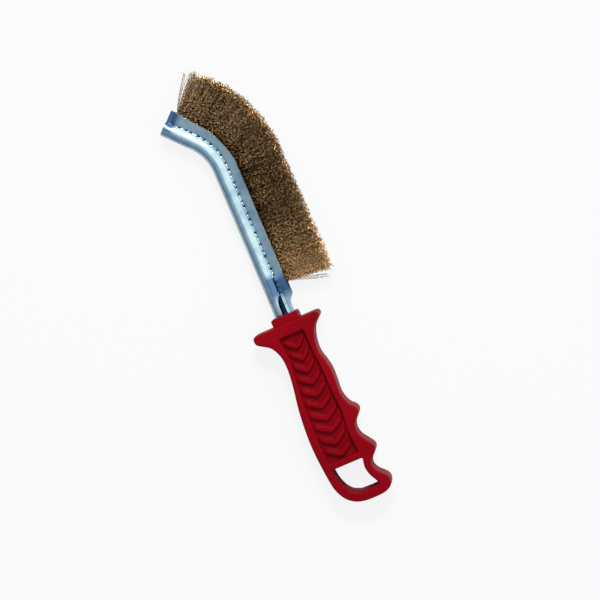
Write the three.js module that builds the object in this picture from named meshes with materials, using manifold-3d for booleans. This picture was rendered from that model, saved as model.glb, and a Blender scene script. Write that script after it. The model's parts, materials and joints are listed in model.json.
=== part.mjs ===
// A hand wire brush. A zinc-plated steel strip is folded into a channel of keyhole section. Its round
// back holds a core wire, and crimped wires folded over the core come out between its flanges. The
// tip of the channel bends down, and its tang is moulded into a plastic handle with a hang loop.
//
// Drawing frame, in millimetres: x = 0 is the mouth of the handle's collar, +x runs to the hang loop,
// +y is the way the wires point, and z = 0 is the mid-plane of the brush, which lies on its side.
// The finished part is then moved so that its origin is the centre of its footprint.
import * as THREE from "three";
import { mergeVertices } from "three/addons/utils/BufferGeometryUtils.js";
import Module from "manifold-3d";

const wasm = await Module();
wasm.setup();

const GAP = 0.3; // clearance between pieces that touch
const radians = THREE.MathUtils.degToRad;
const smooth = THREE.MathUtils.smoothstep;

// The channel's spine is the centre of its round back. It leaves the collar, runs straight, bends
// towards the back of the brush and ends in a short straight tip.
const SPINE_START_Y = -1.9;
const SPINE_SKEW = radians(1);
const STRAIGHT_LENGTH = 94.5;
const BEND_RADIUS = 31.5;
const BEND_ANGLE = radians(43);
const TIP_LENGTH = 20;
const BEND_LENGTH = BEND_RADIUS * BEND_ANGLE;
const SPINE_LENGTH = STRAIGHT_LENGTH + BEND_LENGTH + TIP_LENGTH;

// The channel's section: sheet thickness, round back, crimped neck and open mouth.
const SHEET = 0.9;
const BACK_RADIUS = 4.2;
const NECK_HEIGHT = 5.8;
const NECK_HALF_WIDTH = 2.2;
const MOUTH_HEIGHT = 10.8;
const MOUTH_HALF_WIDTH = 2.5;
const MOUTH_DIP_IN_BEND = 0.8;
const MOUTH_RISE_AT_TIP = 1.5;
const PINCH_START = 3.8; // before the tip, where the flanges begin to close
const PINCH_FULL = 1.4;
const TANG_LENGTH = 36;
const TANG_SQUEEZE = 0.8;
const LOCK_HOLE = { x: 24, y: 1.4, radius: 2.2 };

// The wires.
const CORE_RADIUS = 1.5;
const CORE_START = 11;
const FILL_START = 19.1;
const FILL_END = SPINE_LENGTH - 3.9;
const BUNDLE_COUNT = 44;
const TRIM_LENGTH = 27.2; // from the channel's mouth to the trimmed ends
const TRIM_HALF_WIDTH = 8.7;
const HEEL_LEAN = radians(5.5); // the last wires lean towards the handle
const TIP_LEAN = radians(7);

// The handle.
const HANDLE_THICKNESS = 18;
const EDGE_ROUND = 1.2;
const GUARD_FACE_X = 4.8;
const COLLAR_LOW = -8.8;
const COLLAR_HIGH = 8.2;
const COLLAR_THICKNESS = 14.4;
const RECESS_DEPTH = 3;
const RIB_COUNT = 10;
const RIB_FIRST_TIP_X = 22.5;
const RIB_PITCH = 7.7;
const RIB_WIDTH = 3.4;
const RIB_RUN = 5;
const RIB_BELOW_RIM = 0.7;
const RIB_CLEARANCE = 1.4;

// Where the spine is at a distance s from the collar's mouth, the way it runs there, and the way the
// wires point. A negative s is inside the handle.
function spineAt(s) {
  const bent = THREE.MathUtils.clamp(s - STRAIGHT_LENGTH, 0, BEND_LENGTH);
  const angle = SPINE_SKEW - bent / BEND_RADIUS;
  const along = new THREE.Vector3(-Math.cos(angle), Math.sin(angle), 0);
  const up = new THREE.Vector3(Math.sin(angle), Math.cos(angle), 0);
  const first = new THREE.Vector3(-Math.cos(SPINE_SKEW), Math.sin(SPINE_SKEW), 0);
  const firstUp = new THREE.Vector3(Math.sin(SPINE_SKEW), Math.cos(SPINE_SKEW), 0);
  const point = new THREE.Vector3(0, SPINE_START_Y, 0);
  point.addScaledVector(first, Math.min(s, STRAIGHT_LENGTH));
  point.addScaledVector(firstUp, -BEND_RADIUS);
  point.addScaledVector(up, BEND_RADIUS);
  point.addScaledVector(along, Math.max(s - STRAIGHT_LENGTH - BEND_LENGTH, 0));
  return { point, along, up };
}

// The same place for the wires, which lean a little at both ends of the fill.
function fillAt(s) {
  const { point, along, up } = spineAt(s);
  const heel = HEEL_LEAN * (1 - smooth(s, FILL_START, FILL_START + 10));
  const tip = TIP_LEAN * smooth(s, FILL_END - 25, FILL_END);
  const lean = heel + tip;
  const leant = up.clone().multiplyScalar(Math.cos(lean)).addScaledVector(along, -Math.sin(lean));
  return { point, up: leant };
}

// The height of the channel's mouth above its spine. The flanges are drawn down where they stretch
// round the bend, and stand taller where the tip is pinched shut.
function mouthHeight(s) {
  const round = THREE.MathUtils.clamp((s - STRAIGHT_LENGTH) / BEND_LENGTH, 0, 1);
  const dip = MOUTH_DIP_IN_BEND * Math.sin(Math.PI * round) ** 2;
  const rise = MOUTH_RISE_AT_TIP * smooth(s, STRAIGHT_LENGTH + BEND_LENGTH, SPINE_LENGTH);
  return MOUTH_HEIGHT - dip + rise;
}

// A closed solid through one outline per station. sectionAt(s) lists [z, height] points
// anticlockwise, seen from further along the spine, and frameAt(s) places them.
function loft(stations, sectionAt, frameAt) {
  const positions = [];
  const sections = stations.map(sectionAt);
  const rings = stations.map((s, k) => {
    const { point, up } = frameAt(s);
    return sections[k].map(([z, height]) => {
      const p = point.clone().addScaledVector(up, height);
      return new THREE.Vector3(p.x, p.y, z);
    });
  });
  const triangle = (a, b, c) => [a, b, c].forEach((p) => positions.push(p.x, p.y, p.z));
  const size = rings[0].length;
  rings.slice(1).forEach((ring, k) => {
    const before = rings[k];
    for (let i = 0; i < size; i++) {
      const j = (i + 1) % size;
      triangle(before[i], before[j], ring[j]);
      triangle(before[i], ring[j], ring[i]);
    }
  });
  const cap = (section) =>
    THREE.ShapeUtils.triangulateShape(section.map(([z, h]) => new THREE.Vector2(z, h)), []);
  const last = rings.length - 1;
  cap(sections[0]).forEach(([a, b, c]) => triangle(rings[0][c], rings[0][b], rings[0][a]));
  cap(sections[last]).forEach(([a, b, c]) => triangle(rings[last][a], rings[last][b], rings[last][c]));
  return new THREE.BufferGeometry().setAttribute(
    "position",
    new THREE.Float32BufferAttribute(positions, 3),
  );
}

// Points on a circle in a section, from one angle to another, in degrees.
function arc(radius, from, to, steps) {
  return Array.from({ length: steps + 1 }, (_, i) => {
    const angle = radians(from + ((to - from) * i) / steps);
    return [radius * Math.cos(angle), radius * Math.sin(angle)];
  });
}

// The middle line of the channel's sheet at s, from the left mouth round the back to the right one.
function sheetLine(s) {
  const pinch = smooth(s, SPINE_LENGTH - PINCH_START, SPINE_LENGTH - PINCH_FULL);
  const closed = SHEET / 2 + GAP / 2;
  const squeeze = THREE.MathUtils.lerp(TANG_SQUEEZE, 1, smooth(s, -3, 6));
  const neck = THREE.MathUtils.lerp(NECK_HALF_WIDTH * squeeze, closed, pinch);
  const mouth = THREE.MathUtils.lerp(MOUTH_HALF_WIDTH * squeeze, closed, pinch);
  const back = arc(BACK_RADIUS - SHEET / 2, -230, 50, 10).map(([z, h]) => [z * squeeze, h]);
  const top = mouthHeight(s);
  return [[-mouth, top], [-neck, NECK_HEIGHT], ...back, [neck, NECK_HEIGHT], [mouth, top]];
}

// The channel's section: its middle line with the same thickness put on both sides of it.
function sheetSection(s, thickness) {
  const line = sheetLine(s).map(([z, h]) => new THREE.Vector2(z, h));
  const normals = line.map((_, i) => {
    const before = line[Math.max(i - 1, 0)];
    const after = line[Math.min(i + 1, line.length - 1)];
    const way = after.clone().sub(before).normalize();
    return new THREE.Vector2(way.y, -way.x);
  });
  const side = (offset) => line.map((p, i) => p.clone().addScaledVector(normals[i], offset).toArray());
  return [...side(thickness / 2), ...side(-thickness / 2).reverse()];
}

// One bunch of wires in section: both legs of the fold, from the trimmed ends down round the core.
function bundleSection(s) {
  const mouth = mouthHeight(s);
  const trim = mouth + TRIM_LENGTH;
  const slit = GAP / 2;
  const right = [
    ...arc(BACK_RADIUS - SHEET - GAP, -90, 50, 4),
    [NECK_HALF_WIDTH - SHEET / 2 - GAP, NECK_HEIGHT],
    [MOUTH_HALF_WIDTH - SHEET / 2 - GAP, mouth],
    [TRIM_HALF_WIDTH, trim - 4],
    [TRIM_HALF_WIDTH - 0.6, trim - 2],
    [TRIM_HALF_WIDTH / 2, trim - 0.5],
    [slit, trim],
  ];
  const hole = arc(CORE_RADIUS + GAP, 85, -90, 4);
  const mirror = (points) => points.map(([z, h]) => [-z, h]).reverse();
  return [...mirror(right).slice(0, -1), ...right, ...hole, ...mirror(hole).slice(1)];
}

// Even steps from one distance along the spine to another.
function stations(from, to, steps) {
  return Array.from({ length: steps + 1 }, (_, i) => from + ((to - from) * i) / steps);
}

// manifold-3d joins and cuts; these two functions carry a geometry there and back.
function toSolid(geometry) {
  const loose = geometry.index ? geometry.toNonIndexed() : geometry.clone();
  loose.deleteAttribute("normal");
  loose.deleteAttribute("uv");
  const merged = mergeVertices(loose, 1e-3);
  const vertProperties = merged.attributes.position.array;
  const triVerts = new Uint32Array(merged.index.array);
  return new wasm.Manifold(new wasm.Mesh({ numProp: 3, vertProperties, triVerts }));
}

function toGeometry(solid) {
  const { vertProperties, triVerts } = solid.getMesh();
  return new THREE.BufferGeometry()
    .setAttribute("position", new THREE.Float32BufferAttribute(vertProperties, 3))
    .setIndex(new THREE.Uint32BufferAttribute(triVerts, 1));
}

// An outline in the x-y plane made solid between two heights, with an optional rounded edge.
function slab(shape, zLow, zHigh, round = 0) {
  const geometry = new THREE.ExtrudeGeometry(shape, {
    depth: zHigh - zLow - 2 * round,
    curveSegments: 3,
    bevelEnabled: round > 0,
    bevelThickness: round,
    bevelSize: round,
    bevelOffset: -round,
    bevelSegments: 2,
  });
  return toSolid(geometry.translate(0, 0, zLow + round));
}

function polygon(points) {
  return new THREE.Shape(points.map(([x, y]) => new THREE.Vector2(x, y)));
}

// A peg or drill along z.
function peg(x, y, radius, length) {
  return toSolid(new THREE.CylinderGeometry(radius, radius, length, 16).rotateX(Math.PI / 2).translate(x, y, 0));
}

// What is sheared off the tang: the near flange almost down to the round back, and the far flange
// to half its height. raise lifts both cuts, for the hollow that the tang leaves in the handle.
function tangOffcuts(raise) {
  const nearCut = [[-13.6, 14], [-13.4, 5], [-12.7, 2.6], [-11.5, 0.8], [-9, -0.4], [-6, -0.9], [1, -1.2]];
  const farCut = [[-12.4, 14], [-11.4, 9.6], [-10.2, 8.9], [-8.2, 7.3], [-6.6, 6], [-4.6, 5.7], [1, 5.6]];
  const offcut = (edge, zLow, zHigh) => {
    const end = edge[edge.length - 1];
    const corners = [[TANG_LENGTH + 5, end[1]], [TANG_LENGTH + 5, 14]];
    const raised = [...edge, ...corners].map(([x, y]) => [x, y + raise]);
    return slab(polygon(raised), zLow, zHigh);
  };
  return offcut(nearCut, 0, 10).add(offcut(farCut, -10, 0));
}

function channelGeometry() {
  const along = [
    -TANG_LENGTH, -3, 0, 3, 6,
    ...stations(STRAIGHT_LENGTH, STRAIGHT_LENGTH + BEND_LENGTH, 8),
    ...stations(SPINE_LENGTH - PINCH_START, SPINE_LENGTH - PINCH_FULL, 3),
    SPINE_LENGTH,
  ];
  const strip = toSolid(loft(along, (s) => sheetSection(s, SHEET), spineAt));
  const lockHole = peg(LOCK_HOLE.x, LOCK_HOLE.y, LOCK_HOLE.radius, HANDLE_THICKNESS);
  return toGeometry(strip.subtract(tangOffcuts(0)).subtract(lockHole));
}

function coreGeometry() {
  const section = arc(CORE_RADIUS, 0, 315, 7);
  const bend = stations(STRAIGHT_LENGTH, STRAIGHT_LENGTH + BEND_LENGTH, 8);
  return loft([CORE_START, ...bend, SPINE_LENGTH - GAP], () => section, spineAt);
}

// The handle's outline: guard, finger side, hang loop and palm side, anticlockwise.
function handleShape() {
  const palm = [
    [9.9, -22.1], [12.2, -18.9], [14.8, -15.2], [19.3, -12.5], [25.3, -11.1], [33, -11.2], [43, -12.6],
    [55, -14.8], [67, -16.2], [79, -16.8], [91, -16.4], [102.7, -15.4],
  ];
  const loop = [[109, -14.2], [115.2, -11.1], [119.2, -6.4], [121.1, -0.7], [121.5, 6], [121, 13.3], [118.9, 17.7]];
  const fingers = [
    [115.2, 18.9], [112.3, 18.2], [109.8, 16], [107.1, 13.5], [103.5, 12.1], [100, 13.3], [97.6, 15.8],
    [94.9, 18], [92.5, 18.2], [88.2, 15.5], [84.2, 12.9], [79.9, 12], [75.8, 13.2], [72.8, 16], [69.8, 18.1],
    [67, 17.5], [63.2, 14.1], [56.5, 12.2], [50, 12.6], [41.5, 13.1], [35, 12.2], [30, 10.9], [25.3, 10.7],
    [19.3, 11.7], [13.5, 14], [10.3, 16.8],
  ];
  const shape = new THREE.Shape();
  shape.moveTo(GUARD_FACE_X, 18.2);
  shape.lineTo(GUARD_FACE_X, -20.6);
  shape.quadraticCurveTo(GUARD_FACE_X + 0.4, -22.8, 7.6, -22.7);
  shape.splineThru(palm.map(([x, y]) => new THREE.Vector2(x, y)));
  shape.splineThru(loop.map(([x, y]) => new THREE.Vector2(x, y)));
  shape.splineThru(fingers.map(([x, y]) => new THREE.Vector2(x, y)));
  shape.quadraticCurveTo(8.2, 19.1, 7.2, 19.8);
  shape.quadraticCurveTo(GUARD_FACE_X + 0.1, 20.3, GUARD_FACE_X, 18.2);
  return shape;
}

// The gap inside the hang loop. The side that a hook bears on is straight.
function loopHoleShape() {
  const shape = new THREE.Shape();
  shape.moveTo(96.7, 8.7);
  shape.lineTo(96.7, -11.3);
  shape.splineThru([[103, -10.6], [108.6, -8.8], [113, -5.5], [115.2, -0.8]].map(([x, y]) => new THREE.Vector2(x, y)));
  shape.lineTo(115.5, 6.2);
  shape.lineTo(115.2, 12.1);
  shape.splineThru([[112, 10.7], [108.2, 8.8], [102.9, 7.6], [96.7, 8.7]].map(([x, y]) => new THREE.Vector2(x, y)));
  return shape;
}

// The recessed panel, which fills the grip between the guard and the hang loop.
const RECESS_FINGER_EDGE = [[92, 7.8], [79, 7.1], [67, 8.6], [56, 8], [38, 8], [25, 7.2]];
const RECESS_PALM_EDGE = [[13.5, -7.6], [25, -7.1], [37, -8.3], [49, -9.7], [61, -10.8], [79, -11.3], [92, -10.5]];

function recessShape() {
  return polygon([[12.4, 7.2], [12.4, -9], ...RECESS_PALM_EDGE, ...RECESS_FINGER_EDGE]);
}

// The height of a recess edge at x, read between its corners.
function edgeHeight(edge, x) {
  const sorted = [...edge].sort((a, b) => a[0] - b[0]);
  const last = sorted.length - 1;
  const i = THREE.MathUtils.clamp(sorted.findIndex((p) => p[0] > x), 1, last);
  const [[x0, y0], [x1, y1]] = [sorted[i - 1], sorted[i]];
  return y0 + ((y1 - y0) * THREE.MathUtils.clamp(x - x0, 0, x1 - x0)) / (x1 - x0);
}

// A raised V of even width across the recess, pointing at the hang loop.
function ribShape(tipX) {
  const back = tipX - RIB_RUN;
  const top = edgeHeight(RECESS_FINGER_EDGE, back) - RIB_CLEARANCE;
  const bottom = edgeHeight(RECESS_PALM_EDGE, back) + RIB_CLEARANCE;
  const middle = (top + bottom) / 2;
  return polygon([
    [tipX, middle], [back, top], [back - RIB_WIDTH, top],
    [tipX - RIB_WIDTH, middle], [back - RIB_WIDTH, bottom], [back, bottom],
  ]);
}

function handleGeometry() {
  const half = HANDLE_THICKNESS / 2;
  const web = half - RECESS_DEPTH;
  const collarShape = polygon([
    [0, COLLAR_HIGH], [0, COLLAR_LOW], [GUARD_FACE_X + 3, COLLAR_LOW], [GUARD_FACE_X + 3, COLLAR_HIGH],
  ]);
  let body = slab(handleShape(), -half, half, EDGE_ROUND);
  body = body.add(slab(collarShape, -COLLAR_THICKNESS / 2, COLLAR_THICKNESS / 2, 0.8));
  body = body.subtract(slab(loopHoleShape(), -half - 1, half + 1));
  body = body.subtract(slab(recessShape(), web, half + 1));
  body = body.subtract(slab(recessShape(), -half - 1, -web));
  for (let i = 0; i < RIB_COUNT; i++) {
    const rib = ribShape(RIB_FIRST_TIP_X + RIB_PITCH * i);
    body = body.add(slab(rib, web - 1, half - RIB_BELOW_RIM));
    body = body.add(slab(rib, RIB_BELOW_RIM - half, 1 - web));
  }
  const hollowLine = [-TANG_LENGTH - GAP, -3, 0, 3];
  const hollow = toSolid(loft(hollowLine, (s) => sheetSection(s, SHEET + 2 * GAP), spineAt));
  const key = peg(LOCK_HOLE.x, LOCK_HOLE.y, LOCK_HOLE.radius - GAP, HANDLE_THICKNESS - 2 * RECESS_DEPTH);
  return toGeometry(body.subtract(hollow.subtract(tangOffcuts(GAP)).subtract(key)));
}

const red = new THREE.MeshStandardMaterial({ color: 0xa8001e, roughness: 0.45, metalness: 0 });
const zinc = new THREE.MeshStandardMaterial({ color: 0xa9bccb, roughness: 0.35, metalness: 0.9 });
const steel = new THREE.MeshStandardMaterial({ color: 0x8d9096, roughness: 0.4, metalness: 1 });
const brassed = new THREE.MeshStandardMaterial({ color: 0x8a6036, roughness: 0.45, metalness: 0.8 });

function piece(name, geometry, material) {
  const mesh = new THREE.Mesh(geometry, material);
  mesh.name = name;
  return mesh;
}

const brush = new THREE.Group();
brush.add(piece("handle", handleGeometry(), red));
brush.add(piece("channel", channelGeometry(), zinc));
brush.add(piece("core_wire", coreGeometry(), steel));
const bundlePitch = (FILL_END - FILL_START) / BUNDLE_COUNT;
for (let i = 0; i < BUNDLE_COUNT; i++) {
  const start = FILL_START + bundlePitch * i;
  const geometry = loft([start, start + bundlePitch - GAP], bundleSection, fillAt);
  brush.add(piece(`wire_bundle_${String(i + 1).padStart(2, "0")}`, geometry, brassed));
}

// The origin is the middle of the footprint, on the surface that the brush lies on.
const box = new THREE.Box3().setFromObject(brush);
brush.position.set(-(box.min.x + box.max.x) / 2, -(box.min.y + box.max.y) / 2, -box.min.z);
const part = new THREE.Group();
part.add(brush);
export default part;
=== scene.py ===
"""Looks of a hand wire brush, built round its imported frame.

The brush lies on its side. A zinc-plated steel channel holds thousands of crimped, brass-coated
wires folded over a core wire, and its tang goes into a red moulded handle with a hang loop.

Sizes are in millimetres in the drawing frame of the frame's own source: x = 0 is the mouth of the
handle's collar, +x runs to the hang loop, +y is the way the wires point, and z = 0 is the mid-plane.
"""

import json
import logging
import math
from dataclasses import dataclass
from enum import Enum

import bpy
import numpy as np
from mathutils import Matrix, Vector
from mathutils.geometry import delaunay_2d_cdt

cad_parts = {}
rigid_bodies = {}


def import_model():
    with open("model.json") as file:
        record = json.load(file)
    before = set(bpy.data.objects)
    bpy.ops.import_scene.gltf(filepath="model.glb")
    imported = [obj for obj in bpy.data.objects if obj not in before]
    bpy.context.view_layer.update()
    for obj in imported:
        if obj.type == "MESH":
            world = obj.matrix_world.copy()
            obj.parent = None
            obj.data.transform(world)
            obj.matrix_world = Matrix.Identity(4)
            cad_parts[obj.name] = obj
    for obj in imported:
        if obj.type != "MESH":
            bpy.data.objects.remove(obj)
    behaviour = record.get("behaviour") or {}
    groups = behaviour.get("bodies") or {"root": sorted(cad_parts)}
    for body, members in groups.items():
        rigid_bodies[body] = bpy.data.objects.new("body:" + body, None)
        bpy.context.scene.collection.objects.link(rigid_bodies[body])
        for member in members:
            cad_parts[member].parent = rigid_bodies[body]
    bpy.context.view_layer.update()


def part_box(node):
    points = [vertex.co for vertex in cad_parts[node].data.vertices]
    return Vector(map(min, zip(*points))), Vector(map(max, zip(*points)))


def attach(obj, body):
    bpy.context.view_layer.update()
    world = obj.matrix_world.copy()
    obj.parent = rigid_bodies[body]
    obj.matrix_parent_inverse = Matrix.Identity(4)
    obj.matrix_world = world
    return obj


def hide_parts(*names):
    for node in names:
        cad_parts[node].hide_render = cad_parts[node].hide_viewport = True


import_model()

LOG = logging.getLogger("wire_brush")
MM = 0.001
BODY = "root"


class Socket(Enum):
    """Kinds of input that the wires' node tree takes."""

    VECTOR = "NodeSocketVector"
    FLOAT = "NodeSocketFloat"
    INT = "NodeSocketInt"
    MATERIAL = "NodeSocketMaterial"


class Flange(Enum):
    """The channel's two sides: the upper one as the brush lies, and the one under it."""

    NEAR = 1
    FAR = -1


# ---------------------------------------------------------------- small helpers

def plug(node: bpy.types.Node, inputs: dict) -> None:
    """Sets a node's inputs to values, or links them to the sockets or fields that are given."""
    for name, value in inputs.items():
        value = getattr(value, "socket", value)
        if isinstance(value, bpy.types.NodeSocket):
            node.id_data.links.new(value, node.inputs[name])
        else:
            node.inputs[name].default_value = value


def add(tree: bpy.types.NodeTree, kind: str, inputs: dict | None = None, **settings) -> bpy.types.Node:
    """Adds a node with its settings, values and links.

    Args:
        tree: the tree that gets the node.
        kind: the node's class name.
        inputs: input name or number to a value, or to what is linked to it.
        **settings: properties of the node itself.

    Returns:
        The new node.
    """
    node = tree.nodes.new(kind)
    for name, value in settings.items():
        setattr(node, name, value)
    plug(node, inputs or {})
    return node


def linear(colour: str) -> tuple[float, float, float, float]:
    """Turns an sRGB hex colour such as "#a8001e" into linear red, green, blue and alpha."""
    parts = [int(colour[i:i + 2], 16) / 255 for i in (1, 3, 5)]
    return (*(c / 12.92 if c <= 0.04045 else ((c + 0.055) / 1.055) ** 2.4 for c in parts), 1.0)


def smoothstep(low: float, high: float, x: np.ndarray | float) -> np.ndarray | float:
    """Rises smoothly from 0 at low to 1 at high."""
    t = np.clip((np.asarray(x, float) - low) / (high - low), 0, 1)
    return t * t * (3 - 2 * t)


def reach_along(line: np.ndarray) -> np.ndarray:
    """How far each point of an open line is from its start, along it."""
    return np.concatenate([[0], np.cumsum(np.linalg.norm(np.diff(line, axis=0), axis=1))])


def between_rings(rings: int, size: int) -> list[tuple[int, ...]]:
    """The faces of a tube whose rings of points follow one another."""
    return [(k * size + i, k * size + (i + 1) % size, (k + 1) * size + (i + 1) % size, (k + 1) * size + i)
            for k in range(rings - 1) for i in range(size)]


def linked(name: str, data: bpy.types.ID) -> bpy.types.Object:
    """A new object in the scene with that data."""
    thing = bpy.data.objects.new(name, data)
    bpy.context.scene.collection.objects.link(thing)
    return thing


def baked(source: bpy.types.Object, name: str) -> bpy.types.Mesh:
    """The plain mesh that an object's modifiers give; the object itself is removed."""
    bpy.context.view_layer.update()
    graph = bpy.context.evaluated_depsgraph_get()
    mesh = bpy.data.meshes.new_from_object(source.evaluated_get(graph), depsgraph=graph)
    mesh.name = name
    bpy.data.objects.remove(source)
    return mesh


# ---------------------------------------------------------------- where things are

@dataclass(frozen=True)
class Spine:
    """The centre of the channel's round back: straight, then bent down, then a straight tip.

    A distance s runs from the collar's mouth towards the tip, and is negative inside the handle.
    """

    start_y: float = -1.9
    skew: float = math.radians(1)
    straight: float = 94.5
    bend_radius: float = 31.5
    bend_angle: float = math.radians(43)
    tip: float = 20.0
    back_radius: float = 4.2
    mouth_height: float = 10.8
    mouth_dip: float = 0.8
    mouth_rise: float = 1.5

    @property
    def bend(self) -> float:
        """Length of the bend along the spine."""
        return self.bend_radius * self.bend_angle

    @property
    def length(self) -> float:
        """Length of the whole spine outside the handle."""
        return self.straight + self.bend + self.tip

    def at(self, s: float) -> tuple[np.ndarray, np.ndarray, np.ndarray]:
        """Gives the point at s, the way along the spine, and the way the wires point.

        Args:
            s: distance from the collar's mouth.

        Returns:
            Point, unit vector along, and unit vector up, each with x, y and z.
        """
        angle = self.skew - min(max(s - self.straight, 0), self.bend) / self.bend_radius
        along = np.array([-math.cos(angle), math.sin(angle), 0.0])
        up = np.array([math.sin(angle), math.cos(angle), 0.0])
        first = np.array([-math.cos(self.skew), math.sin(self.skew), 0.0])
        first_up = np.array([math.sin(self.skew), math.cos(self.skew), 0.0])
        point = np.array([0.0, self.start_y, 0.0]) + first * min(s, self.straight)
        point = point + (up - first_up) * self.bend_radius
        return point + along * max(s - self.straight - self.bend, 0), along, up

    def ring(self, s: float, across: np.ndarray, heights: np.ndarray) -> np.ndarray:
        """Points of a section at s, from their z and their heights above the spine."""
        point, _, up = self.at(s)
        ring = point + np.outer(heights, up)
        ring[:, 2] = across
        return ring

    def mouth(self, s: float) -> float:
        """Height of the channel's mouth above the spine at s."""
        share = min(max((s - self.straight) / self.bend, 0), 1)
        dip = self.mouth_dip * math.sin(math.pi * share) ** 2
        return self.mouth_height - dip + self.mouth_rise * float(
            smoothstep(self.straight + self.bend, self.length, s))


class Place:
    """Carries points from the drawing frame, in millimetres, to the row frame, in metres."""

    def __init__(self, spine: Spine) -> None:
        """Finds the shift from where the frame's channel and handle lie."""
        tip_point, _, tip_up = spine.at(spine.length)
        handle_low, handle_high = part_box("handle")
        channel_low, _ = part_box("channel")
        lowest_y = (tip_point - tip_up * spine.back_radius)[1]
        self.shift = np.array([handle_low.x / MM, channel_low.y / MM - lowest_y,
                               (handle_low.z + handle_high.z) / 2 / MM])

    def __call__(self, points: np.ndarray) -> np.ndarray:
        """Points in the row frame, in metres."""
        return (np.asarray(points, float) + self.shift) * MM


def mesh_object(name: str, points: np.ndarray, faces: list, sharp_above: float = 35) -> bpy.types.Object:
    """Makes a smooth-shaded mesh object whose sharp edges are found by angle.

    Args:
        name: the piece's name.
        points: vertices in the row frame, in metres.
        faces: lists of vertex numbers.
        sharp_above: edges that turn by more than this many degrees are shaded sharp.

    Returns:
        The object, linked to the scene.
    """
    mesh = bpy.data.meshes.new(name)
    mesh.from_pydata([tuple(p) for p in points], [], [tuple(f) for f in faces])
    mesh.validate()
    mesh.shade_smooth()
    mesh.set_sharp_from_angle(angle=math.radians(sharp_above))
    return linked(name, mesh)


def dress(piece: bpy.types.Object, material: bpy.types.Material, slot: str, *nodes: str) -> bpy.types.Object:
    """Gives a piece its material and ties it to the frame.

    Args:
        piece: the object.
        material: its material.
        slot: the record's material slot; not used.
        *nodes: the frame's nodes that the piece stands for.

    Returns:
        The same piece.
    """
    piece.data.materials.clear()
    piece.data.materials.append(material)
    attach(piece, BODY)
    if nodes:
        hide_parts(*nodes)
    LOG.info("%s: %d faces", piece.name, len(piece.data.polygons))
    return piece


# ---------------------------------------------------------------- finishes

class Finish:
    """A material under construction: its Principled shader, and what most finishes need."""

    def __init__(self, name: str) -> None:
        """Starts a material with a Principled shader and Object coordinates."""
        self.material = bpy.data.materials.new(name)
        self.material.use_nodes = True
        self.tree = self.material.node_tree
        self.tree.nodes.clear()
        self.surface = add(self.tree, "ShaderNodeBsdfPrincipled")
        self.output = add(self.tree, "ShaderNodeOutputMaterial", {"Surface": self.surface.outputs["BSDF"]})
        self.where = add(self.tree, "ShaderNodeTexCoord").outputs["Object"]

    def noise(self, scale: float, detail: float, roughness: float = 0.5,
              where: bpy.types.NodeSocket | None = None) -> bpy.types.NodeSocket:
        """Fractal noise on Object coordinates, or on others that are given."""
        return add(self.tree, "ShaderNodeTexNoise", {"Vector": where or self.where, "Scale": scale,
                                                     "Detail": detail, "Roughness": roughness}).outputs["Fac"]

    def ranged(self, value: bpy.types.NodeSocket, low: float, high: float, to_low: float = 0.0,
               to_high: float = 1.0) -> bpy.types.NodeSocket:
        """Maps low to to_low and high to to_high, and holds what lies outside."""
        return add(self.tree, "ShaderNodeMapRange", {
            "Value": value, "From Min": low, "From Max": high, "To Min": to_low,
            "To Max": to_high}).outputs["Result"]

    def mix(self, factor: bpy.types.NodeSocket, first: bpy.types.NodeSocket | str,
            second: str) -> bpy.types.NodeSocket:
        """Mixes two colours, each a hex colour, or the first a socket."""
        start = linear(first) if isinstance(first, str) else first
        return add(self.tree, "ShaderNodeMix", {"Factor": factor, "A": start, "B": linear(second)},
                   data_type="RGBA").outputs["Result"]

    def math(self, operation: str, *values) -> bpy.types.NodeSocket:
        """The result of one Math node on the given numbers or sockets."""
        return add(self.tree, "ShaderNodeMath", dict(enumerate(values)), operation=operation).outputs[0]

    def bump(self, height: bpy.types.NodeSocket, strength: float, depth_mm: float) -> bpy.types.NodeSocket:
        """A normal that follows the height."""
        return add(self.tree, "ShaderNodeBump", {"Height": height, "Strength": strength,
                                                 "Distance": depth_mm * MM}).outputs["Normal"]

    def done(self, inputs: dict) -> bpy.types.Material:
        """Sets or links the shader's inputs, and gives the finished material."""
        plug(self.surface, inputs)
        return self.material


@dataclass(frozen=True)
class MouldedPolypropylene:
    """Injection-moulded polypropylene: a strong even colour under a soft plastic gloss."""

    colour: str = "#79000c"
    shade: str = "#6e0009"
    specular: float = 0.05
    roughness: float = 0.36
    grain_mm: float = 0.55
    grain_depth_mm: float = 0.08
    flow_mm: float = 26.0

    def material(self) -> bpy.types.Material:
        """Builds the material, with a spark-eroded mould grain and faint flow marks."""
        finish = Finish("moulded_polypropylene_red")
        flow = finish.ranged(finish.noise(1 / (self.flow_mm * MM), 3.0), 0.35, 0.65)
        grain = finish.noise(1 / (self.grain_mm * MM), 2.0)
        return finish.done({
            "Base Color": finish.mix(flow, self.shade, self.colour),
            "Roughness": finish.ranged(grain, 0.0, 1.0, self.roughness - 0.05, self.roughness + 0.08),
            "Normal": finish.bump(grain, 0.10, self.grain_depth_mm),
            "IOR": 1.49, "Specular IOR Level": self.specular})


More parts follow.
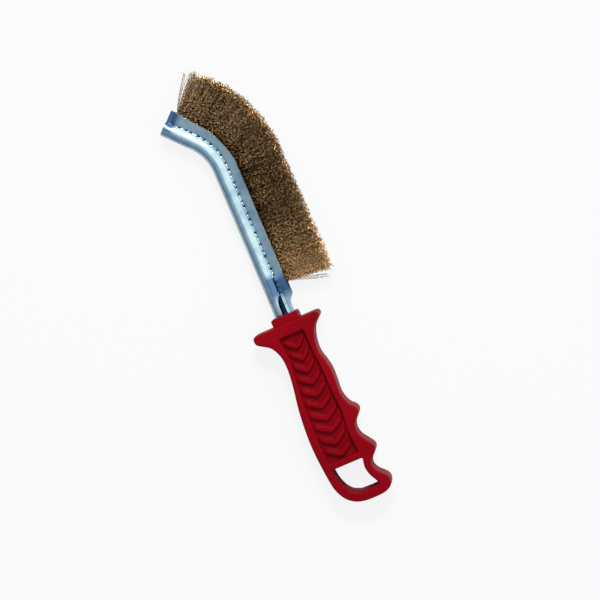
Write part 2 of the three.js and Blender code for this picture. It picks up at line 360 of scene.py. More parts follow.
@dataclass(frozen=True)
class ZincPlate:
    """Bright zinc plating with a blue passivate on rolled sheet: silvery, cool and softly streaked.

    The sheet's own attribute gives the place along it, the place across it and the depth pressed in, which
    the material darkens with painted shade.
    """

    colour: str = "#bcd6dc"
    stain: str = "#93b2c4"
    # painted shade colour for the flanges at the heel and the tip
    deep: str = "#56789a"
    # painted shade colour for the crimp pits and the open tang's trough
    painted_shade: str = "#33485e"
    tang_mm: tuple[float, float] = (8.0, 13.0)
    heel_mm: tuple[float, float] = (22.8, 26.8)
    tip_mm: tuple[float, float] = (130.5, 134.5)
    deep_from_mm: tuple[float, float] = (4.6, 6.2)
    pit_mm: tuple[float, float] = (0.1, 0.34)
    roughness: float = 0.17
    streak_mm: tuple[float, float] = (14.0, 0.7)
    streak_depth_mm: float = 0.05
    cloud_mm: float = 9.0

    def material(self) -> bpy.types.Material:
        """Builds the material, with rolling streaks along the strip, cloudy passivate, and painted shade at
        the heel, the tip and in the crimp marks.
        """
        finish = Finish("blue_zinc_plated_sheet")
        tree = finish.tree
        sheet = add(tree, "ShaderNodeAttribute", attribute_name="sheet").outputs["Vector"]
        along, across = self.streak_mm
        stretched = add(tree, "ShaderNodeMapping", {"Vector": sheet, "Scale": (
            1 / (along * MM), 1 / (across * MM), 1.0)}).outputs["Vector"]
        streak = finish.noise(1.0, 4.0, where=stretched)
        cloud = finish.ranged(finish.noise(1 / (self.cloud_mm * MM), 5.0, 0.6), 0.4, 0.72)
        colour = finish.mix(cloud, self.colour, self.stain)
        # painted shade: a deeper blue on the flanges at the heel and at the tip, clear of the tang, where the
        # sheet's slopes and dents should reflect the dark side of the room
        split = add(tree, "ShaderNodeSeparateXYZ", {"Vector": sheet}).outputs
        height = finish.math("ABSOLUTE", split["Y"])
        heel, tip, flange, clear_of_tang = (
            finish.ranged(value, low * MM, high * MM, float(falls), float(not falls))
            for value, (low, high), falls in (
                (split["X"], self.heel_mm, True), (split["X"], self.tip_mm, False),
                (height, self.deep_from_mm, False), (split["X"], self.tang_mm, False)))
        painted_end_shade = finish.math("MULTIPLY", finish.math("ADD", heel, tip),
                            finish.math("MULTIPLY", flange, clear_of_tang))
        colour = finish.mix(painted_end_shade, colour, self.deep)
        # painted shade: the crimp pits, and the inside of the open tang's trough, go dark blue-grey in place
        # of the shade that falls in them
        shade_share = finish.ranged(split["Z"], *(edge * MM for edge in self.pit_mm))
        return finish.done({
            "Base Color": finish.mix(shade_share, colour, self.painted_shade),
            "Roughness": finish.ranged(streak, 0.3, 0.7, self.roughness - 0.05, self.roughness + 0.09),
            "Normal": finish.bump(streak, 0.22, self.streak_depth_mm),
            "Metallic": 1.0})


@dataclass(frozen=True)
class DrawnSteel:
    """Bright drawn steel wire, cut square: plain grey with a slightly uneven gloss."""

    colour: str = "#9b9a98"
    roughness: float = 0.34
    grain_per_m: float = 1800.0

    def material(self) -> bpy.types.Material:
        """Builds the material."""
        finish = Finish("drawn_steel_wire")
        noise = finish.noise(self.grain_per_m, 3.0)
        return finish.done({
            "Base Color": linear(self.colour), "Metallic": 1.0,
            "Roughness": finish.ranged(noise, 0.0, 1.0, self.roughness, self.roughness + 0.15)})


@dataclass(frozen=True)
class BrassedWire:
    """Steel wire with a thin brass coat: gold where it is fresh, brown and dull where it is rubbed, and brown
    too where shade is painted on.
    """

    gold: str = "#ffd698"
    brown: str = "#180c04"
    bare: str = "#80542f"
    stops: tuple[float, float, float] = (0.12, 0.45, 0.95)
    roughness: float = 0.28
    patch_mm: float = 1.05
    patch_tone: tuple[float, float] = (-0.36, 0.62)

    def material(self) -> bpy.types.Material:
        """Builds the material: each wire has its own tone, and the coat is patchy along it."""
        finish = Finish("brass_coated_steel_wire")
        tone = add(finish.tree, "ShaderNodeAttribute", attribute_name="tone").outputs["Fac"]
        patch = finish.noise(1 / (self.patch_mm * MM), 2.0, 0.6)
        worn = finish.ranged(patch, 0.42, 0.58, *self.patch_tone)
        ramp = add(finish.tree, "ShaderNodeValToRGB", {"Fac": finish.math("ADD", tone, worn)})
        stops = ramp.color_ramp.elements
        brown_at, bare_at, gold_at = self.stops
        stops[0].position, stops[0].color = brown_at, linear(self.brown)
        stops[1].position, stops[1].color = gold_at, linear(self.gold)
        stops.new(bare_at).color = linear(self.bare)
        return finish.done({"Base Color": ramp.outputs["Color"], "Metallic": 1.0,
                            "Roughness": self.roughness})


@dataclass(frozen=True)
class LightTable:
    """Backlit opal board, as under small products: nearly white, with only a breath of shadow."""

    board: str = "#b8b8b8"
    glow: float = 0.86
    grain_per_m: float = 400.0

    def material(self) -> bpy.types.Material:
        """Builds the material: the glow is for the camera only, so it doesn't light the object."""
        finish = Finish("backlit_opal_board")
        tree = finish.tree
        glow = add(tree, "ShaderNodeEmission", {"Color": (1.0, 1.0, 1.0, 1.0), "Strength": 1.0})
        seen = finish.math("MULTIPLY", add(tree, "ShaderNodeLightPath").outputs["Is Camera Ray"], self.glow)
        mixed = add(tree, "ShaderNodeMixShader", {0: seen, 1: finish.surface.outputs["BSDF"],
                                                  2: glow.outputs["Emission"]})
        plug(finish.output, {"Surface": mixed.outputs["Shader"]})
        return finish.done({
            "Base Color": linear(self.board), "Specular IOR Level": 0.0,
            "Roughness": finish.ranged(finish.noise(self.grain_per_m, 2.0), 0.0, 1.0, 0.85, 0.95)})


# ---------------------------------------------------------------- channel

@dataclass(frozen=True)
class Dimple:
    """A shallow round dent in the channel's flange."""

    at: float
    height: float
    reach: float
    rise: float
    depth: float

    def depth_at(self, along: float, height: np.ndarray) -> np.ndarray:
        """How deep it is at points of one section."""
        spread = ((along - self.at) / self.reach) ** 2 + ((height - self.height) / self.rise) ** 2
        return self.depth * np.exp(-spread)


@dataclass
class Channel:
    """The folded sheet-steel channel: round back, crimped neck, open mouth, bent tip and tang."""

    spine: Spine
    place: Place
    sheet: float = 0.9
    back_end: float = 46.0
    back_stretch: float = 1.45
    waist_height: float = 4.7
    waist_half: float = 1.3
    neck_height: float = 5.7
    neck_half: float = 1.55
    mouth_half: float = 2.5
    heel_open: float = 2.3
    heel_span: tuple[float, float] = (21.0, 27.0)
    pinch_start: float = 5.2
    pinch_full: float = 2.2
    pinch_gap: float = 0.12
    heel_shares: tuple[float, float, float] = (1.2, 1.0, 0.6)
    wall_clearance: float = 0.1
    tang: float = 36.0
    squeeze: float = 0.8
    step: float = 0.34
    half_points: int = 40
    dot_pitch: float = 4.05
    dot_first: float = 8.6
    dot_count: int = 29
    dot_height: float = 4.9
    dot_depth: float = 0.54
    dot_radius: float = 0.82
    dot_wander: tuple[float, float, float] = (0.55, 0.25, 0.2)
    dot_phases: tuple[float, float, float] = (2.4, 1.3, 3.1)
    burr_share: float = 0.16
    burr_offset: tuple[float, float] = (1.3, 0.5)
    burr_radius: float = 0.5
    # painted shade: the inside of the open tang is darkened before this distance and below this height
    trough_shade_end: float = 13.0
    trough_shade_height: float = 1.6
    stroke_pitch: float = 1.75
    stroke_count: int = 9
    stroke_first: float = 24.5
    stroke_depth: float = 0.17
    stroke_half: float = 0.34
    stroke_slant: float = 0.22
    stroke_low: tuple[float, float] = (0.8, 1.6)
    stroke_high: tuple[float, float] = (4.4, 5.2)
    tip_dimple: Dimple = Dimple(3.4, 4.4, 2.2, 1.7, 0.7)
    heel_dimple: Dimple = Dimple(14.6, 5.2, 2.4, 2.6, 0.75)
    near_cut: tuple = ((13.6, 12), (13.3, 6.9), (12.7, 4.4), (11.4, 2.6), (9, 1.4), (6, 0.85), (-2, 0.7))
    far_cut: tuple = ((12.6, 12), (11.4, 11.2), (10.2, 10.7), (8.2, 9.1), (6.6, 7.8), (4.6, 7.5), (-2, 7.5))

    def top(self, s: float, flange: Flange) -> float:
        """Height at which the sheet ends at s on that flange."""
        cut = self.near_cut if flange is Flange.NEAR else self.far_cut
        return min(self.spine.mouth(s), float(np.interp(s, *zip(*reversed(cut)))))

    def half_line(self, s: float, flange: Flange) -> np.ndarray:
        """The sheet's middle line at s, from the bottom of the back to the end of one flange.

        Args:
            s: distance along the spine.
            flange: which flange.

        Returns:
            Points (z, height), evenly spaced.
        """
        end = self.spine.length
        pinch = float(smoothstep(end - self.pinch_start, end - self.pinch_full, s))
        narrow = self.squeeze + (1 - self.squeeze) * float(smoothstep(-3, 6, s))
        closed = self.sheet / 2 + self.pinch_gap
        opened = self.heel_open * (1 - float(smoothstep(*self.heel_span, s)))
        waist, neck, mouth = (
            (half + opened * share) * narrow * (1 - pinch) + closed * pinch
            for half, share in zip((self.waist_half, self.neck_half, self.mouth_half), self.heel_shares))
        radius = self.spine.back_radius - self.sheet / 2
        turns = np.radians(np.linspace(-90, self.back_end, 24))
        stretch = np.where(turns > 0, self.back_stretch, 1.0)
        back = np.column_stack([radius * np.cos(turns) * narrow, radius * np.sin(turns) * stretch])
        height = self.spine.mouth(s)
        side = np.array([[waist, self.waist_height], [neck, self.neck_height],
                         [(neck + mouth) / 2, (self.neck_height + height) / 2], [mouth, height]])
        line = np.vstack([back, side])
        for _ in range(3):
            quarter, three = line[:-1] * 0.75 + line[1:] * 0.25, line[:-1] * 0.25 + line[1:] * 0.75
            inner = np.empty((2 * len(quarter), 2))
            inner[0::2], inner[1::2] = quarter, three
            line = np.vstack([line[:1], inner, line[-1:]])
        reach = reach_along(line)
        rising = np.maximum.accumulate(line[:, 1])
        last = float(np.interp(self.top(s, flange), rising, reach))
        at = np.linspace(0, last, self.half_points)
        return np.column_stack([np.interp(at, reach, line[:, 0]), np.interp(at, reach, line[:, 1])])

    def marks(self, s: float, height: np.ndarray) -> np.ndarray:
        """How deep the row of crimping marks is at points of one section.

        Args:
            s: distance along the spine.
            height: the points' heights above the spine.

        Returns:
            A depth in millimetres for each point; the burr beside a mark is below zero.
        """
        from_tip = self.spine.length - s
        depth = np.zeros_like(height)
        nearest = round((from_tip - self.dot_first) / self.dot_pitch)
        for k in range(max(nearest - 1, 0), min(nearest + 2, self.dot_count)):
            aside, raised, larger = (share * math.sin(phase * k)
                                     for share, phase in zip(self.dot_wander, self.dot_phases))
            off = from_tip - self.dot_first - k * self.dot_pitch - aside
            high, size = self.dot_height + raised, self.dot_radius * (1 + larger)
            depth += self.dot_depth * np.exp(-(off ** 2 + (height - high) ** 2) / size ** 2)
            burr = (off - self.burr_offset[0]) ** 2 + (height - high - self.burr_offset[1]) ** 2
            depth -= self.burr_share * self.dot_depth * np.exp(-burr / self.burr_radius ** 2)
        return depth

    def pressed(self, s: float, height: np.ndarray) -> np.ndarray:
        """How far the other tools push the sheet in: strokes by the heel, and a dimple at each end.

        Args:
            s: distance along the spine.
            height: the points' heights above the spine.

        Returns:
            A depth in millimetres for each point.
        """
        depth = np.zeros_like(height)
        middle = (self.stroke_low[1] + self.stroke_high[0]) / 2
        band = smoothstep(*self.stroke_low, height) * (1 - smoothstep(*self.stroke_high, height))
        for k in range(self.stroke_count):
            off = s - self.stroke_first - k * self.stroke_pitch - self.stroke_slant * (height - middle)
            depth += self.stroke_depth * np.exp(-(off / self.stroke_half) ** 2) * band
        return (depth + self.tip_dimple.depth_at(self.spine.length - s, height)
                + self.heel_dimple.depth_at(s, height))

    def build(self, name: str, start: float, end: float, thickness: float) -> bpy.types.Object:
        """Sweeps the section along the spine as one closed sheet.

        Args:
            name: the object's name.
            start: where the sweep starts along the spine.
            end: where it ends.
            thickness: the sheet's thickness.

        Returns:
            The mesh object, with a "sheet" attribute: place along and across the strip, and depth pressed in,
            set full inside the open tang's trough so that painted shade goes there.
        """
        stations = np.linspace(start, end, max(8, round((end - start) / self.step)))
        points, flat, loop_size = [], [], 0
        for s in stations:
            near, far = (self.half_line(s, flange) for flange in Flange)
            depths = []
            for side in (near, far):
                room = np.maximum(side[:, 0] - self.sheet / 2 - self.wall_clearance, 0)
                depths.append(self.marks(s, side[:, 1]))
                side[:, 0] -= np.minimum(depths[-1] + self.pressed(s, side[:, 1]), room)
            far[:, 0] *= -1
            line = np.vstack([far[::-1], near[1:]])
            way = np.gradient(line, axis=0)
            way /= np.linalg.norm(way, axis=1)[:, None]
            normal = np.column_stack([way[:, 1], -way[:, 0]])
            outer, inner = line + normal * thickness / 2, line - normal * thickness / 2
            tips = [line[-1] + way[-1] * thickness * 0.3, line[0] - way[0] * thickness * 0.3]
            loop = np.vstack([outer, tips[:1], inner[::-1], tips[1:]])
            points.append(self.spine.ring(s, loop[:, 0], loop[:, 1]))
            reach = reach_along(line)
            reach = reach - reach[len(far) - 1]
            across = np.concatenate([reach, reach[-1:], reach[::-1], reach[:1]])
            deep = np.concatenate([depths[1][::-1], depths[0][1:]])
            # painted shade: low on the inside of the open tang, the depth is set full so that the material
            # paints it dark
            in_shaded_trough = (s < self.trough_shade_end) & (line[:, 1] < self.trough_shade_height)
            within = np.where(in_shaded_trough, self.dot_depth, deep)
            deep = np.concatenate([deep, deep[-1:], within[::-1], deep[:1]])
            flat.append(np.column_stack([np.full(len(loop), s), across, deep]))
            loop_size = len(loop)
        faces = between_rings(len(stations), loop_size)
        count = 2 * self.half_points - 1
        last = (len(stations) - 1) * loop_size
        for base, flip in ((0, True), (last, False)):
            caps = [(i, i + 1, 2 * count - 1 - i, 2 * count - i) for i in range(count - 1)]
            caps += [(count - 1, count, count + 1), (2 * count, 2 * count + 1, 0)]
            faces += [tuple(base + v for v in (cap[::-1] if flip else cap)) for cap in caps]
        piece = mesh_object(name, self.place(np.vstack(points)), faces, sharp_above=40)
        attribute = piece.data.attributes.new("sheet", "FLOAT_VECTOR", "POINT")
        attribute.data.foreach_set("vector", (np.vstack(flat) * MM).astype(np.float32).ravel())
        return piece

    def make(self, zinc: bpy.types.Material) -> bpy.types.Object:
        """Builds and dresses the channel."""
        piece = self.build("folded_channel", -self.tang, self.spine.length, self.sheet)
        return dress(piece, zinc, "zinc_plated_steel", "channel")


# ---------------------------------------------------------------- core wire

@dataclass
class CoreWire:
    """The round wire inside the channel's back that the brush wires are folded over."""

    spine: Spine
    place: Place
    radius: float = 1.5
    start: float = 11.0
    recess: float = 0.5
    chamfer: float = 0.25
    steps: int = 60
    sides: int = 16

    def make(self, steel: bpy.types.Material) -> bpy.types.Object:
        """Builds and dresses the core wire, with a small chamfer at each cut end."""
        end, cut, n = self.spine.length - self.recess, self.chamfer, self.sides
        stations = [self.start, self.start + cut, *np.linspace(self.start + 1, end - 1, self.steps),
                    end - cut, end]
        sizes = [self.radius - cut, *[self.radius] * (self.steps + 2), self.radius - cut]
        turns = np.linspace(0, 2 * math.pi, n, endpoint=False)
        rings = [self.spine.ring(s, size * np.cos(turns), size * np.sin(turns))
                 for s, size in zip(stations, sizes)]
        faces = between_rings(len(rings), n)
        faces.append(tuple(range(n))[::-1])
        faces.append(tuple((len(rings) - 1) * n + i for i in range(n)))
        piece = mesh_object("core_rod", self.place(np.vstack(rings)), faces)
        return dress(piece, steel, "core_steel", "core_wire")


# ---------------------------------------------------------------- wires

class Field:
    """A number or vector in a node tree, with arithmetic that adds the node for it."""

    def __init__(self, socket: bpy.types.NodeSocket, is_vector: bool = False) -> None:
        """Wraps a node's output."""
        self.socket = socket
        self.is_vector = is_vector

    def math(self, operation: str, *others, turned: bool = False) -> "Field":
        """The result of one Math or Vector Math node on this value and the others.

        Args:
            operation: the node's operation.
            *others: numbers, sockets or fields.
            turned: whether this value comes last, as in 1 - field.

        Returns:
            The result, a vector if this value is one.
        """
        values = [*others, self] if turned else [self, *others]
        kind = "ShaderNodeVectorMath" if self.is_vector else "ShaderNodeMath"
        inputs = {0: self, "Scale": others[0]} if operation == "SCALE" else dict(enumerate(values))
        node = add(self.socket.id_data, kind, inputs, operation=operation)
        return Field(node.outputs[0], self.is_vector)

    def __add__(self, other) -> "Field":
        """Adds a number or field."""
        return self.math("ADD", other)

    def __sub__(self, other) -> "Field":
        """Takes a number or field away."""
        return self.math("SUBTRACT", other)

    def __rsub__(self, other) -> "Field":
        """Takes this value away from a number."""
        return self.math("SUBTRACT", other, turned=True)

    def __mul__(self, other) -> "Field":
        """Multiplies by a number or field, which scales a vector."""
        return self.math("SCALE" if self.is_vector else "MULTIPLY", other)

    def __truediv__(self, other) -> "Field":
        """Divides by a number or field."""
        return self.math("DIVIDE", other)

    def __pow__(self, other) -> "Field":
        """Raises to a power."""
        return self.math("POWER", other)


class WireTree:
    """A Geometry Nodes tree that grows one bunch of crimped wires from the channel's mouth."""

    INPUTS = {
        Socket.VECTOR: ("Root A", "Root B", "Tip A", "Tip B"),
        Socket.FLOAT: ("Root Half Width", "Trim Half Width", "Flare", "Wire Radius", "Crimp Height",
                       "Crimp Twist", "Tone Shift", "Trim Scatter", "Trim Dome", "Tip Drift", "Bow"),
        Socket.INT: ("Wire Count", "Steps", "Seed"),
        Socket.MATERIAL: ("Wire Material",),
    }
    TONE_RANGE = (0.2, 0.6)
    # painted shade: the lowest tone darkens the wires down in the mouth; the trimmed ends are toned lighter
    TRIM_LIGHTER_TONE = 0.12  # at the trimmed ends
    MOUTH_SHADE_TONE = -1.0  # down in the mouth
    SECTION_SIDES = 3

    def __init__(self) -> None:
        """Builds the tree once, for every bunch to share."""
        self.tree = bpy.data.node_groups.new("crimped_wire_bunch", "GeometryNodeTree")
        for kind, names in self.INPUTS.items():
            for name in names:
                self.tree.interface.new_socket(name, in_out="INPUT", socket_type=kind.value)
        self.tree.interface.new_socket("Geometry", in_out="OUTPUT", socket_type="NodeSocketGeometry")
        self.ids = {item.name: item.identifier for item in self.tree.interface.items_tree
                    if item.in_out == "INPUT"}
        outputs = add(self.tree, "NodeGroupInput").outputs
        self.given = {name: Field(outputs[name], kind is Socket.VECTOR)
                      for kind, names in self.INPUTS.items() for name in names}
        self._wire()

    def _random(self, salt: int, low: float, high: float, is_vector: bool = False) -> Field:
        """A number or vector that is the same all along one wire, and differs from wire to wire."""
        seed = self.given["Seed"] + float(salt)
        wire = add(self.tree, "GeometryNodeInputNamedAttribute", {"Name": "wire"}, data_type="INT")
        node = add(self.tree, "FunctionNodeRandomValue", {"ID": wire.outputs["Attribute"], "Seed": seed},
                   data_type="FLOAT_VECTOR" if is_vector else "FLOAT")
        least, most = [socket for socket in node.inputs if socket.enabled][:2]
        least.default_value, most.default_value = ((low,) * 3, (high,) * 3) if is_vector else (low, high)
        return Field(next(socket for socket in node.outputs if socket.enabled), is_vector)

    def _between(self, share: Field, first: str, second: str) -> Field:
        """The point at a share of the way between two of the tree's vector inputs."""
        node = add(self.tree, "ShaderNodeMix", {"Factor": share, 4: self.given[first],
                                                5: self.given[second]}, data_type="VECTOR")
        return Field(node.outputs[1], is_vector=True)

    def _across(self, height: Field) -> Field:
        """A vector of that height across the brush."""
        return Field(add(self.tree, "ShaderNodeCombineXYZ", {"Z": height}).outputs[0], is_vector=True)

    def _wire(self) -> None:
        """Adds the nodes: one straight line per wire, moved on to its own crimped path."""
        tree, given = self.tree, self.given
        points = add(tree, "GeometryNodePoints", {"Count": given["Wire Count"]})
        numbered = add(tree, "GeometryNodeStoreNamedAttribute", {
            "Geometry": points.outputs[0], "Name": "wire",
            "Value": add(tree, "GeometryNodeInputIndex").outputs[0]}, data_type="INT", domain="POINT")
        line = add(tree, "GeometryNodeCurvePrimitiveLine")
        steps = add(tree, "GeometryNodeResampleCurve", {"Curve": line.outputs[0],
                                                        "Count": given["Steps"] + 1.0})
        strewn = add(tree, "GeometryNodeInstanceOnPoints", {"Points": numbered.outputs[0],
                                                            "Instance": steps.outputs[0]})
        wires = add(tree, "GeometryNodeRealizeInstances", {"Geometry": strewn.outputs[0]})

        spline = add(tree, "GeometryNodeSplineParameter").outputs
        factor, index = Field(spline["Factor"]), Field(spline["Index"])
        share, side = self._random(1, 0, 1), self._random(2, -1, 1)
        turn = self._random(3, 0, 2 * math.pi) + self._random(9, -1, 1) * (factor * given["Crimp Twist"])
        shift, short = self._random(4, 0, 1), self._random(5, 0, 1)
        drift, bow = self._random(6, -1, 1, is_vector=True), self._random(7, -1, 1, is_vector=True)

        # each wire starts a different way below the mouth, so that their crimps don't line up
        deeper = shift * 2.0 / given["Steps"]
        reach = factor * (deeper + 1.0) - deeper
        length = 1.0 - short ** 3.0 * given["Trim Scatter"] - side * side * given["Trim Dome"]
        done = reach * length
        outwards = done.math("MAXIMUM", 0.0)

        # painted shade: the wires are toned darker down in the channel's mouth, where shade falls; they are
        # also toned lighter towards their trimmed ends
        lighter_ends, mouth_shade = outwards ** 4.0 * self.TRIM_LIGHTER_TONE, (1.0 - done) ** 8.0 * self.MOUTH_SHADE_TONE
        tone = self._random(8, *self.TONE_RANGE) + given["Tone Shift"] + (lighter_ends + mouth_shade)

        root, tip = self._between(share, "Root A", "Root B"), self._between(share, "Tip A", "Tip B")
        flare = outwards ** given["Flare"]
        width = given["Root Half Width"] + flare * (given["Trim Half Width"] - given["Root Half Width"])
        along = (given["Root B"] - given["Root A"]).math("NORMALIZE")
        zig = (1.0 - index.math("MODULO", 2.0) * 2.0) * given["Crimp Height"]
        path = root + (tip - root) * done
        for part in (self._across(side * width), drift * (flare * flare * given["Tip Drift"]),
                     bow * ((done * math.pi).math("SINE") * given["Bow"]),
                     along * (turn.math("COSINE") * zig), self._across(turn.math("SINE") * zig)):
            path = path + part
        moved = add(tree, "GeometryNodeSetPosition", {"Geometry": wires.outputs[0], "Position": path})
        toned = add(tree, "GeometryNodeStoreNamedAttribute", {
            "Geometry": moved.outputs[0], "Name": "tone", "Value": tone}, data_type="FLOAT", domain="POINT")
        section = add(tree, "GeometryNodeCurvePrimitiveCircle", {"Resolution": self.SECTION_SIDES,
                                                                 "Radius": given["Wire Radius"]})
        tubes = add(tree, "GeometryNodeCurveToMesh", {
            "Curve": toned.outputs[0], "Profile Curve": section.outputs[0], "Fill Caps": True})
        real = add(tree, "GeometryNodeRealizeInstances", {"Geometry": tubes.outputs[0]})
        painted = add(tree, "GeometryNodeSetMaterial", {"Geometry": real.outputs[0],
                                                        "Material": given["Wire Material"]})
        add(tree, "NodeGroupOutput", {"Geometry": painted.outputs[0]})

    def grow(self, name: str, **values) -> bpy.types.Object:
        """Runs the tree once and keeps its result as a plain mesh.

        Args:
            name: the piece's name.
            **values: the tree's inputs, with underscores for spaces.

        Returns:
            The piece.
        """
        seedling = linked(name + "_seed", bpy.data.meshes.new(name + "_seed"))
        modifier = seedling.modifiers.new("wires", "NODES")
        modifier.node_group = self.tree
        for key, value in values.items():
            modifier[self.ids[key.replace("_", " ").title()]] = value
        return linked(name, baked(seedling, name))


@dataclass(frozen=True)
class Stray:
    """A few wires that stand away from the rest, between two places along the spine."""

    start: float
    end: float
    lean_a: float
    lean_b: float
    reach: float
    count: int
    half_width: float = 6.0
    drift: float = 1.5
    bow: float = 1.5
    tone: float = 0.25


@dataclass
class WireFill:
    """All the brush wires, as one bunch for each bunch of the frame, and the few that stand out."""

    spine: Spine
    place: Place
    bunches: int = 44
    fill_start: float = 19.1
    fill_inset: float = 4.3
    trim: tuple = ((19, 28.8), (60, 28.0), (92, 27.4), (110, 28.4), (129, 27.6), (133.5, 25.8))
    root_depth: float = 2.6
    root_half: float = 1.3
    trim_half: float = 8.0
    flare: float = 1.5
    wires: int = 52
    wire_radius: float = 0.22
    crimp_steps: int = 22
    crimp_height: float = 0.8
    heel_lean: float = math.radians(4)
    tip_lean: float = math.radians(7)
    crimp_twist: float = 6.0
    trim_scatter: float = 0.07
    trim_dome: float = 0.05
    tip_drift: float = 1.5
    bow: float = 0.9
    first_seed: int = 100
    seed_step: int = 20
    strays: tuple[Stray, ...] = (
        Stray(130.5, 134.2, math.radians(5), math.radians(-4.5), 26.5, 64),
        Stray(133.6, 134.0, math.radians(-9), math.radians(-14), 25.0, 5, bow=2.2),
        Stray(18.6, 18.9, math.radians(17.5), math.radians(13.5), 25.0, 4, half_width=3.0, drift=0.6,
              bow=0.5),
    )
    stray_first_seed: int = 2000
    stray_seed_step: int = 30
    stray_flare: float = 1.2
    stray_thinner: float = 0.9
    stray_steps: int = 24
    stray_crimp: float = 0.42
    stray_scatter: float = 0.16
    fan: tuple = ((88, 1.0), (94, 1.75), (118, 1.75), (124, 1.1))
    # painted light: bunches are toned lighter towards both ends of the brush, where the fill thins and lets
    # more light in, and darker along the middle
    tones: tuple[tuple[float, float], ...] = (
        (19, 0.32), (32, 0.16), (50, -0.05), (60, -0.2), (88, -0.21), (105, -0.02), (133, 0.12))

    def frame_at(self, s: float) -> tuple[np.ndarray, np.ndarray]:
        """The mouth's middle at s, and the way its wires point.

        Args:
            s: distance along the spine.

        Returns:
            Point and unit vector.
        """
        point, along, up = self.spine.at(s)
        end = self.spine.length - self.fill_inset
        heel = self.heel_lean * (1 - float(smoothstep(self.fill_start, self.fill_start + 10, s)))
        tip = self.tip_lean * float(smoothstep(end - 25, end, s))
        way = up * math.cos(heel + tip) - along * math.sin(heel + tip)
        return point + way * self.spine.mouth(s), way

    def ends(self, s: float) -> tuple[Vector, Vector]:
        """Where a wire at s starts, below the mouth, and where it ends, in the row frame."""
        mouth, way = self.frame_at(s)
        tip = float(np.interp(s, *zip(*self.trim)))
        return Vector(self.place(mouth - way * self.root_depth)), Vector(self.place(mouth + way * tip))

    def grow(self, tree: WireTree, name: str, s0: float, s1: float, seed: int,
             wire: bpy.types.Material, **changes) -> bpy.types.Object:
        """Grows one bunch between two distances along the spine.

        Args:
            tree: the Geometry Nodes tree.
            name: the piece's name.
            s0: where the bunch starts.
            s1: where it ends.
            seed: its random seed.
            wire: the wire's material.
            **changes: inputs that differ from a plain bunch.

        Returns:
            The piece.
        """
        root_a, tip_a = self.ends(s0)
        root_b, tip_b = self.ends(s1)
        values = dict(root_a=root_a, root_b=root_b, tip_a=tip_a, tip_b=tip_b,
                      root_half_width=self.root_half * MM, trim_half_width=self.trim_half * MM,
                      flare=self.flare, wire_count=self.wires, wire_radius=self.wire_radius * MM,
                      steps=self.crimp_steps, crimp_height=self.crimp_height * MM,
                      crimp_twist=self.crimp_twist, trim_scatter=self.trim_scatter,
                      trim_dome=self.trim_dome, tip_drift=self.tip_drift * MM, bow=self.bow * MM,
                      seed=seed, wire_material=wire)
        values.update(changes)
        return tree.grow(name, **values)

    def make(self, wire: bpy.types.Material) -> None:
        """Grows and dresses every bunch, and then the wires that stand out."""
        tree = WireTree()
        pitch = (self.spine.length - self.fill_inset - self.fill_start) / self.bunches
        for i in range(self.bunches):
            s0 = self.fill_start + pitch * i
            tone = float(np.interp(s0, *zip(*self.tones)))
            fan = float(np.interp(s0, *zip(*self.fan)))
            piece = self.grow(tree, f"wires_{i + 1:02d}", s0, s0 + pitch, self.first_seed
                              + self.seed_step * i, wire, tone_shift=tone, wire_count=round(self.wires * fan))
            dress(piece, wire, "brassed_wire", f"wire_bundle_{i + 1:02d}")
        for k, stray in enumerate(self.strays):
            seed = self.stray_first_seed + self.stray_seed_step * k
            dress(self.loose(tree, f"loose_wires_{k + 1}", stray, seed, wire), wire, "brassed_wire")

    def loose(self, tree: WireTree, name: str, stray: Stray, seed: int,
              wire: bpy.types.Material) -> bpy.types.Object:
        """Grows wires that stand away from the dense fill.

        Args:
            tree: the Geometry Nodes tree.
            name: the piece's name.
            stray: where they are and how they lean.
            seed: their random seed.
            wire: the wire's material.

        Returns:
            The piece.
        """
        values = {}
        for letter, s, lean in (("a", stray.start, stray.lean_a), ("b", stray.end, stray.lean_b)):
            point, along, up = self.spine.at(s)
            way = up * math.cos(lean) - along * math.sin(lean)
            mouth = point + up * self.spine.mouth(s)
            values["root_" + letter] = Vector(self.place(mouth - way * self.root_depth))
            values["tip_" + letter] = Vector(self.place(mouth + way * stray.reach))
        return tree.grow(
            name, **values, root_half_width=self.root_half * MM, trim_half_width=stray.half_width * MM,
            flare=self.stray_flare, wire_count=stray.count,
            wire_radius=self.wire_radius * self.stray_thinner * MM, steps=self.stray_steps,
            crimp_height=self.stray_crimp * MM, crimp_twist=self.crimp_twist, tone_shift=stray.tone,
            trim_scatter=self.stray_scatter, trim_dome=0.0, tip_drift=stray.drift * MM,
            bow=stray.bow * MM, seed=seed, wire_material=wire)


# ---------------------------------------------------------------- handle

def resampled(loop: np.ndarray, spacing: float) -> np.ndarray:
    """Points of a closed loop at even distances."""
    closed = np.vstack([loop, loop[:1]])
    reach = reach_along(closed)
    at = np.linspace(0, reach[-1], max(8, round(reach[-1] / spacing)), endpoint=False)
    return np.column_stack([np.interp(at, reach, closed[:, 0]), np.interp(at, reach, closed[:, 1])])


def softened(loop: np.ndarray, spacing: float, radius: float) -> np.ndarray:
    """A closed loop with its corners rounded.

    Args:
        loop: corner points, anticlockwise.
        spacing: distance between the points of the result.
        radius: how far a corner is rounded; about the radius it ends with.

    Returns:
        Points, evenly spaced.
    """
    fine = resampled(loop, spacing)
    reach = int(math.ceil(3 * radius / spacing))
    weights = np.exp(-0.5 * (np.arange(-reach, reach + 1) * spacing / (0.55 * radius)) ** 2)
    weights /= weights.sum()
    total = sum(w * np.roll(fine, k, axis=0) for w, k in zip(weights, range(-reach, reach + 1)))
    return resampled(total, spacing)


